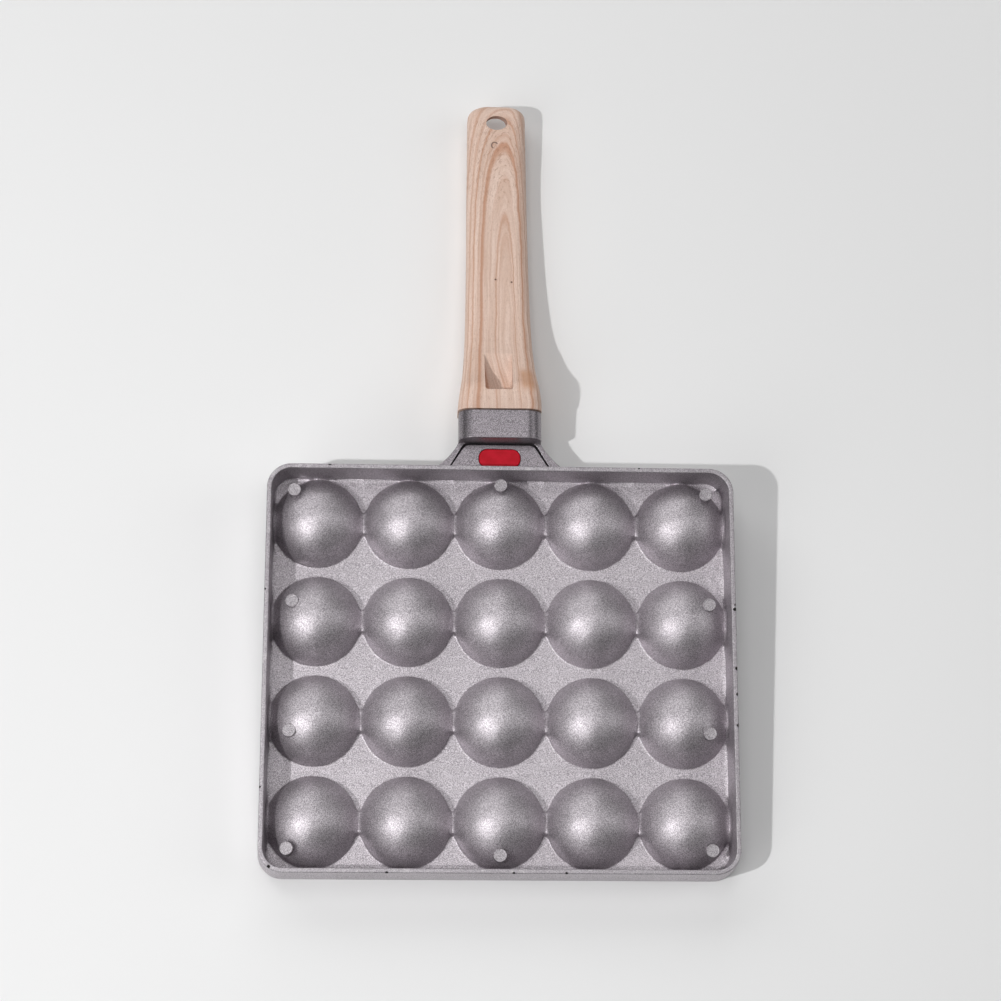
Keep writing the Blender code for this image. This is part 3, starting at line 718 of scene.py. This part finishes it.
# The handle is fitted slightly askew, turned about a place at its foot.
HANDLE_TURN = math.radians(0.3)
TURN_PLACE = Vector((0, 100, 0)) * MM
# Way along the handle, half width, top and underside, as shares of the sizes above.
STATIONS = np.array((
    (0.000, 1.000, 0.519, -0.518), (0.018, 0.995, 0.563, -0.549), (0.044, 0.970, 0.602, -0.593),
    (0.066, 0.943, 0.588, -0.628), (0.096, 0.908, 0.426, -0.674), (0.131, 0.874, 0.260, -0.726),
    (0.169, 0.847, 0.119, -0.779), (0.207, 0.826, -0.029, -0.829), (0.245, 0.812, -0.131, -0.881),
    (0.289, 0.799, -0.223, -0.942), (0.343, 0.788, -0.306, -1.015), (0.436, 0.772, -0.422, -1.136),
    (0.534, 0.760, -0.519, -1.251), (0.615, 0.753, -0.598, -1.334), (0.697, 0.747, -0.665, -1.405),
    (0.779, 0.739, -0.683, -1.456), (0.860, 0.731, -0.672, -1.455), (0.951, 0.726, -0.679, -1.388)))


def eased(at, places, values):
    """Smooth curve through values that doesn't swing past any of them."""
    steps = np.diff(places)
    rises = np.diff(values) / steps
    before, after = rises[:-1], rises[1:]
    product = before * after
    inner = np.where(product > 0, 2 * product / np.where(product > 0, before + after, 1), 0)
    slopes = np.concatenate((rises[:1], inner, rises[-1:]))
    k = np.clip(np.searchsorted(places, at) - 1, 0, len(steps) - 1)
    t = (at - places[k]) / steps[k]
    return (values[k] * (1 + 2 * t) * (1 - t) ** 2 + values[k + 1] * t * t * (3 - 2 * t)
            + steps[k] * t * (1 - t) * (slopes[k] * (1 - t) - slopes[k + 1] * t))


def handle_sizes(share):
    """Half width, top and underside of the handle at a share of its length, in metres."""
    share = np.clip(np.asarray(share, dtype=float), 0, STATIONS[-1, 0])
    width, top = (eased(share, STATIONS[:, 0], STATIONS[:, k]) for k in (1, 2))
    under = np.interp(share, STATIONS[:, 0], STATIONS[:, 3])
    return (width * HANDLE_HALF_WIDTH, HANDLE_MIDDLE + top * HANDLE_HEIGHT,
            HANDLE_MIDDLE + under * HANDLE_HEIGHT)


def section(half_width, top, under, corner):
    """Points round a rounded rectangle across the handle."""
    points = []
    corner_x, corner_z = min(corner, half_width), min(corner, (top - under) / 2)
    for quarter, (side, level) in enumerate(((1, top - corner_z), (-1, top - corner_z),
                                             (-1, under + corner_z), (1, under + corner_z))):
        for step in range(10):
            angle = math.radians(90 * quarter + 10 * step)
            points.append((side * (half_width - corner_x) + corner_x * math.cos(angle),
                           level + corner_z * math.sin(angle)))
    return points


rings = [(y, section(TENON_HALF_WIDTH, GUARD_MIDDLE + TENON_HALF_HEIGHT,
                     GUARD_MIDDLE - TENON_HALF_HEIGHT, TENON_CORNER))
         for y in (HANDLE_START - TENON_LENGTH, HANDLE_START)]
for share in np.linspace(0, 1 - HANDLE_END / HANDLE_LENGTH, 89):
    rings.append((HANDLE_START + share * HANDLE_LENGTH, section(*handle_sizes(share),
                                                                HANDLE_CORNER)))
half_width, top, under = handle_sizes(1 - HANDLE_END / HANDLE_LENGTH)
for angle in np.radians((12, 22, 32, 42, 51, 59, 66, 72, 77, 81, 84.5, 87.5, 90)):
    out = math.sin(angle) ** (2 / END_ROUNDNESS)
    shrink = max(math.cos(angle), 0) ** (2 / END_ROUNDNESS)
    middle, half_height = (top + under) / 2, (top - under) / 2
    rings.append((HANDLE_START + HANDLE_LENGTH - HANDLE_END + out * (HANDLE_END - END_MARGIN),
                  section(half_width * shrink, middle + half_height * shrink,
                          middle - half_height * shrink, HANDLE_CORNER * shrink)))
around = len(rings[0][1])
deselect()
bpy.ops.mesh.primitive_grid_add(x_subdivisions=around, y_subdivisions=len(rings) - 1, size=2)
handle = bpy.context.object
handle.name = handle.data.name = "wooden_handle"
for vertex in handle.data.vertices:
    y, points = rings[round((vertex.co.y + 1) / 2 * (len(rings) - 1))]
    x, z = points[round((vertex.co.x + 1) / 2 * around) % around]
    vertex.co = (x, y, z)
bpy.ops.object.mode_set(mode="EDIT")
bpy.ops.mesh.select_all(action="SELECT")
bpy.ops.mesh.remove_doubles(threshold=SAME_PLACE)
pick(handle, "EDGE", lambda edge: edge.is_boundary)
bpy.ops.mesh.edge_face_add()
bpy.ops.mesh.select_all(action="SELECT")
bpy.ops.mesh.normals_make_consistent(inside=False)
bpy.ops.object.mode_set(mode="OBJECT")

pocket = add_block((-POCKET_HALF_WIDTH, 0, 0),
                   (POCKET_HALF_WIDTH, POCKET_LENGTH, HANDLE_HEIGHT))
bpy.ops.object.mode_set(mode="EDIT")
pick(pocket, "EDGE", upright)
bpy.ops.mesh.bevel(offset=POCKET_CORNER, segments=5, affect="EDGES")
bpy.ops.object.mode_set(mode="OBJECT")
cut(handle, placed(pocket, Matrix.Translation((POCKET_OFFSET, POCKET_WALL, HANDLE_MIDDLE))
                   @ Matrix.Rotation(POCKET_SLOPE, 4, "X")))
for radius, low in ((HEAD_BORE_RADIUS, HEAD_BORE_START), (SHANK_BORE_RADIUS, SHANK_BORE_START)):
    cut(handle, placed(add_drum(radius, low, POCKET_WALL + 2 * MM),
                       Matrix.Translation((0, 0, BOLT_LEVEL))
                       @ Matrix.Rotation(-math.pi / 2, 4, "X")))
hole = placed(add_drum(HANG_HOLE_WIDTH / 2, -2 * HANDLE_HEIGHT, 2 * HANDLE_HEIGHT, 64),
              Matrix.Diagonal((1, HANG_HOLE_LENGTH / HANG_HOLE_WIDTH, 1, 1)))
end_top = HANDLE_MIDDLE + STATIONS[-1, 2] * HANDLE_HEIGHT
cut(handle, placed(hole, Matrix.Translation((0, HANG_HOLE_PLACE, end_top))
                   @ Matrix.Rotation(HANG_HOLE_LEAN, 4, "X")))
bevelled(handle, HANDLE_EDGE, 3, 55)
smooth(handle, 40)

# The grain follows the handle's shape: way across, as if it were equally wide all along, way from
# its far end, and depth under its top, in mm.
GRAIN_HALF_WIDTH = 16
points = np.empty(len(handle.data.vertices) * 3)
handle.data.vertices.foreach_get("co", points)
points = points.reshape(-1, 3)
half_width, top, under = handle_sizes((points[:, 1] - HANDLE_START) / HANDLE_LENGTH)
grain = np.stack((points[:, 0] / half_width * GRAIN_HALF_WIDTH,
                  (HANDLE_START + HANDLE_LENGTH - points[:, 1]) / MM,
                  (top - points[:, 2]) / MM), axis=1)
handle.data.attributes.new("grain", "FLOAT_VECTOR", "POINT").data.foreach_set(
    "vector", grain.ravel())
placed(handle, Matrix.Translation(TURN_PLACE) @ Matrix.Rotation(HANDLE_TURN, 4, "Z")
       @ Matrix.Translation(-TURN_PLACE))
lay_down(handle)
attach(handle, "root")
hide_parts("handle")

wood = Finish("pale hardwood")
grain = wood.node("ShaderNodeAttribute", {"attribute_name": "grain"}, {}, "Vector")
across, along, depth = (wood.part(grain, axis) for axis in range(3))
sway = wood.noise(0.045, 3.0, 0.5, grain) - 0.5
waver = wood.noise(0.6, 2.0, 0.5, grain) - 0.5
# Where the wood's heart runs, in mm across, how much closer its rings lie on that line's right,
# and the ring, in mm, at which they arch over at the far end, and the way in which they close.
HEART_LINE = 4.5
CLOSER_RINGS = 0.62
ARCH_START, ARCH_FADE = 21.2, 54.0
from_heart = across - HEART_LINE + sway * 3.0
flank = from_heart.at_least(0.0) / CLOSER_RINGS + (0.0 - from_heart).at_least(0.0)
fade = along * (-1 / ARCH_FADE)
arch = ARCH_START * fade.sum("EXPONENT", fade)
ring = (flank ** 2.0 + arch ** 2.0) ** 0.5 + depth * 0.3 + sway * 1.4 + waver * 0.5
# How dark the late wood is from the innermost ring outwards, as shares of 45 mm.
LATE_WOOD_REACH = 45.0
late_wood = wood.node("ShaderNodeValToRGB", {"stops": (
    (0.000, 0.10), (0.096, 0.08), (0.108, 0.35), (0.120, 0.06), (0.136, 0.70), (0.152, 0.10),
    (0.190, 0.04), (0.205, 0.30), (0.218, 0.04), (0.250, 0.06), (0.268, 0.20), (0.285, 0.85),
    (0.298, 1.00), (0.318, 0.15), (0.332, 0.50), (0.345, 0.06), (0.372, 0.05), (0.388, 0.85),
    (0.402, 0.20), (0.430, 0.05), (0.446, 0.55), (0.460, 0.08), (0.500, 0.05), (0.520, 0.60),
    (0.545, 0.10), (0.620, 0.05), (0.645, 0.55), (0.670, 0.05), (0.760, 0.50), (0.860, 0.10))},
    [ring / LATE_WOOD_REACH])
arched = wood.noise(1.0, 2.0, 0.6, wood.node("ShaderNodeCombineXYZ", {},
                                             [ring * 2.6, along * 0.30, across * 0.3]))
straight = wood.noise(1.0, 2.0, 0.6, wood.node("ShaderNodeCombineXYZ", {},
                                               [across * 2.6, along * 0.30, depth * 1.5]))
in_arches = wood.from_to(along, 75.0, 45.0) * wood.from_to(along, 6.0, 14.0)
pores = (wood.from_to(arched, 0.53, 0.64) * in_arches
         + wood.from_to(straight, 0.58, 0.68) * (1.0 - in_arches) * 0.7)
streak = wood.noise(0.55, 4.0, 0.6, wood.node("ShaderNodeCombineXYZ", {},
                                              [ring * 1.6, along * 0.05, across * 0.1]))
fibre = wood.noise(3.0, 3.0, 0.6, wood.node("ShaderNodeCombineXYZ", {},
                                            [ring * 2.5, along * 0.12, depth * 0.5]))
speck = wood.noise(2600.0, 1.0)
# Where a flame-shaped patch, two pin-sized dots and a small round dimple are, in mm on the grain;
# the dimple's shaded side is a painted shadow.
FLAME_ACROSS, FLAME_ALONG = 11.5, 167.0
PIN_DOTS = ((-1.2, 105.0), (6.9, 106.5))
NICK_ACROSS, NICK_ALONG, NICK_RADIUS = -1.2, 25.2, 1.7
wood_colour = wood.blend(wood.from_to(streak, 0.30, 0.72), tone(218, 188, 170), tone(238, 214, 200))
wood_colour = wood.blend(late_wood * (0.50 + 0.5 * streak), wood_colour, tone(188, 128, 92))
flame = (wood.from_to(abs(across - FLAME_ACROSS), 4.5, 1.5)
         * wood.from_to(abs(along - FLAME_ALONG), 9.0, 3.0) * (0.4 + streak))
wood_colour = wood.blend(flame * 0.8, wood_colour, tone(200, 148, 112))
wood_colour = wood.blend(pores * 0.42, wood_colour, tone(164, 118, 92))
wood_colour = wood.blend(wood.from_to(speck, 0.45, 0.70) * 0.22, wood_colour, tone(150, 116, 100))
for pin_across, pin_along in PIN_DOTS:
    apart = ((across - pin_across) ** 2.0 + (along - pin_along) ** 2.0) ** 0.5
    wood_colour = wood.blend(wood.from_to(apart, 0.7, 0.3), wood_colour, tone(96, 66, 54))
# Painted shadow: a dark crescent on one side of a small ring stands for the shaded inner wall of a
# shallow dimple.
beside, beyond = across - NICK_ACROSS, along - NICK_ALONG
dimple_shadow = (wood.from_to(abs((beside ** 2.0 + beyond ** 2.0) ** 0.5 - NICK_RADIUS), 0.5, 0.2)
        * wood.from_to(beside + beyond, 1.2, 0.4))
wood_colour = wood.blend(dimple_shadow * 0.8, wood_colour, tone(104, 82, 74))
wood.set(Base_Color=wood_colour, Roughness=0.55 + 0.15 * pores,
         Normal=wood.relief(fibre - pores * 0.6, 0.06 * MM))
wood.give(handle)


# The surface under the pan is a plain pale board, matt, with a trace of unevenness. Far from
# the pan it fades into the pale backdrop, so that low views show no dark edge behind the pan.
bpy.ops.mesh.primitive_plane_add(size=6)
floor = bpy.context.object
board = Finish("pale board")
reach = board.node("ShaderNodeVectorMath", {"operation": "LENGTH"}, [board.place], "Value")
board.set(Base_Color=board.blend(board.noise(3.0, 2.0), tone(238, 238, 238), tone(243, 243, 243)),
          Roughness=0.8, Alpha=board.from_to(reach, 1.5, 0.8))
board.give(floor)


# A small lamp on the left gives the highlights and the one hard shadow, and five soft boxes
# above and around the pan fill the rest. The pale backdrop behind them lights almost nothing.
def add_light(name, shape, size, watts, place, target):
    light = bpy.data.lights.new(name, "AREA")
    light.shape = shape
    light.size = size
    light.energy = watts
    stand = bpy.data.objects.new(name, light)
    bpy.context.scene.collection.objects.link(stand)
    stand.location = place
    stand.rotation_euler = (Vector(target) - stand.location).to_track_quat("-Z", "Y").to_euler()


add_light("lamp", "DISK", 0.04, 10.5, (-0.833, -0.522, 1.294), (0, -0.1, 0))
for place, watts in (((-1.5, -1.5, 1.5), 11.0), ((-1.5, 1.5, 1.5), 11.5), ((0, 2.0, 1.5), 11.5),
                     ((2.0, 0, 1.5), 9.5), ((0, 0, 2.2), 11.5)):
    add_light("soft box", "SQUARE", 1.4, watts, place, (0, 0, 0))

world = bpy.data.worlds.new("studio")
bpy.context.scene.world = world
world.use_nodes = True
nodes = world.node_tree.nodes
backdrop = nodes["Background"]
backdrop.inputs["Color"].default_value = (0.8, 0.8, 0.8, 1)
fill = nodes.new("ShaderNodeBackground")
fill.inputs["Strength"].default_value = 0.02
seen = nodes.new("ShaderNodeMixShader")
world.node_tree.links.new(nodes.new("ShaderNodeLightPath").outputs["Is Camera Ray"],
                          seen.inputs[0])
world.node_tree.links.new(fill.outputs[0], seen.inputs[1])
world.node_tree.links.new(backdrop.outputs[0], seen.inputs[2])
world.node_tree.links.new(seen.outputs[0], nodes["World Output"].inputs["Surface"])
bpy.context.scene.view_settings.view_transform = "Standard"

# The camera is high above the pan, a little in front of it, and looks down on it.
lens = bpy.data.cameras.new("camera")
lens.sensor_width = 36
lens.lens = 83.62
camera = bpy.data.objects.new("camera", lens)
bpy.context.scene.collection.objects.link(camera)
camera.location = (-0.0558, -0.3968, 1.1677)
camera.rotation_euler = (math.radians(18.261), math.radians(-2.770), math.radians(-0.126))
bpy.context.scene.camera = camera
